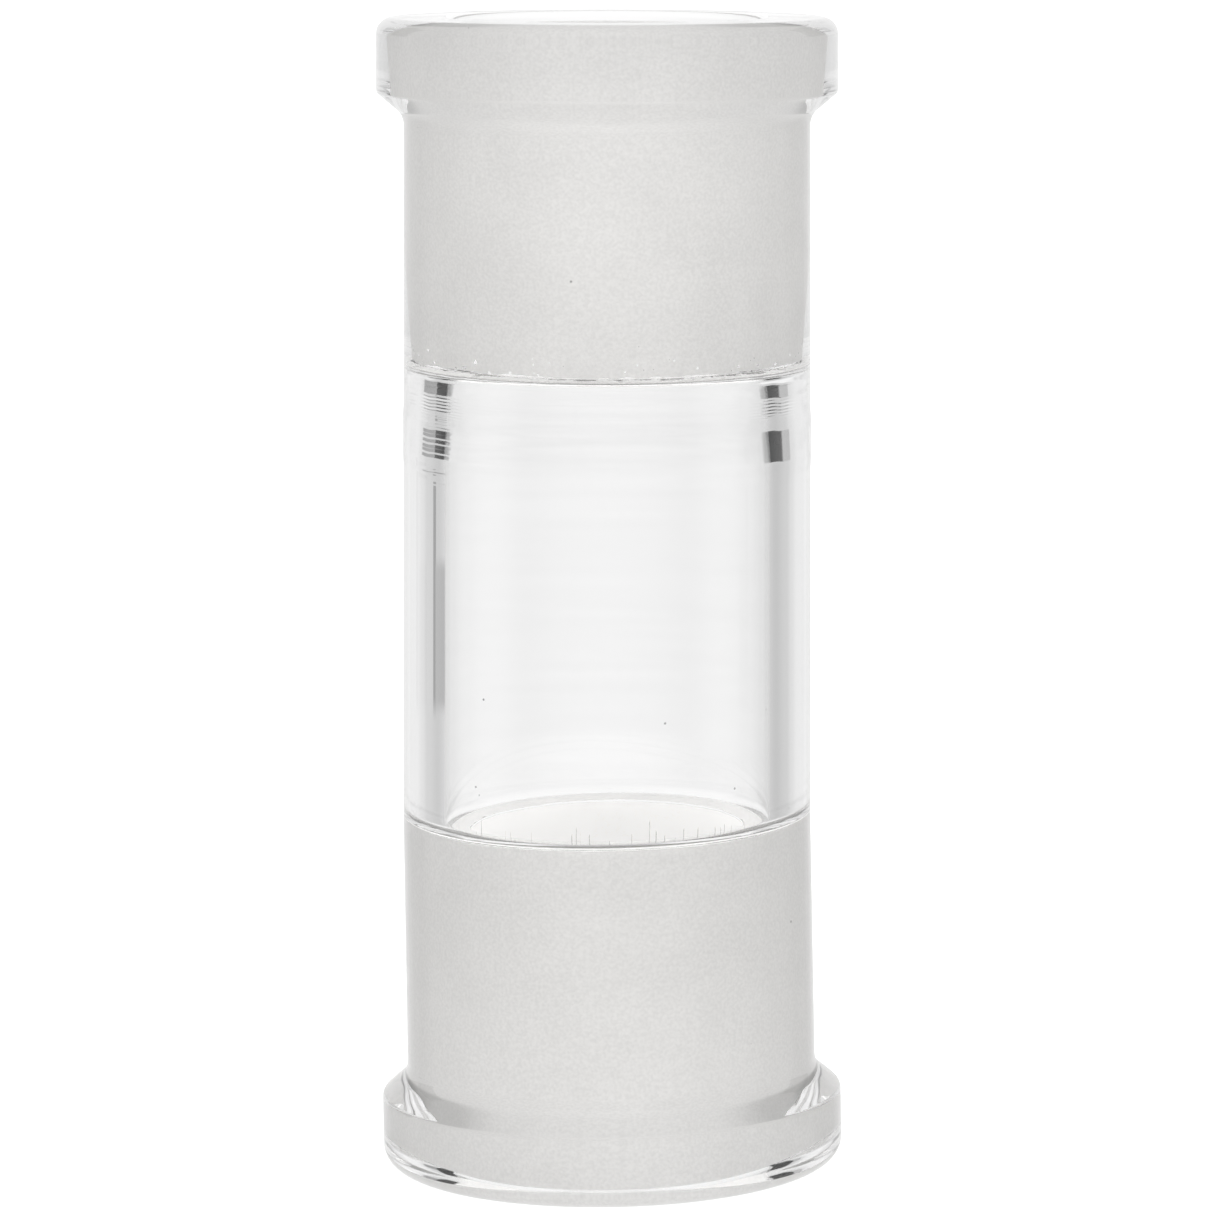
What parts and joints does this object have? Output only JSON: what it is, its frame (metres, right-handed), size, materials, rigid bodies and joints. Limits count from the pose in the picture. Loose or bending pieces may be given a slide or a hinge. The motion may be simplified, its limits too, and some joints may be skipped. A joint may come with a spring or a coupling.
{
  "type": "ground glass joint adapter",
  "caption": "Straight glass connecting adapter with a tapered ground socket and thick rim at each end, joined by a clear centre tube.",
  "frame": {"origin": "centre of the bore at the lower rim's flat resting face", "axes": "+Z along the bore, from the lower mouth up to the upper mouth; +X and +Y are free, because the part is a body of revolution"},
  "size_m": [0.0294, 0.0294, 0.0728],
  "materials": {
    "ground_glass": "clear glass outside, ground to an even matt white in the tapered bore",
    "clear_glass": "fire-polished clear glass"
  },
  "bodies": {
    "root": {"upper_socket": "ground_glass", "centre_tube": "clear_glass", "lower_socket": "ground_glass"}
  },
  "joints": []
}
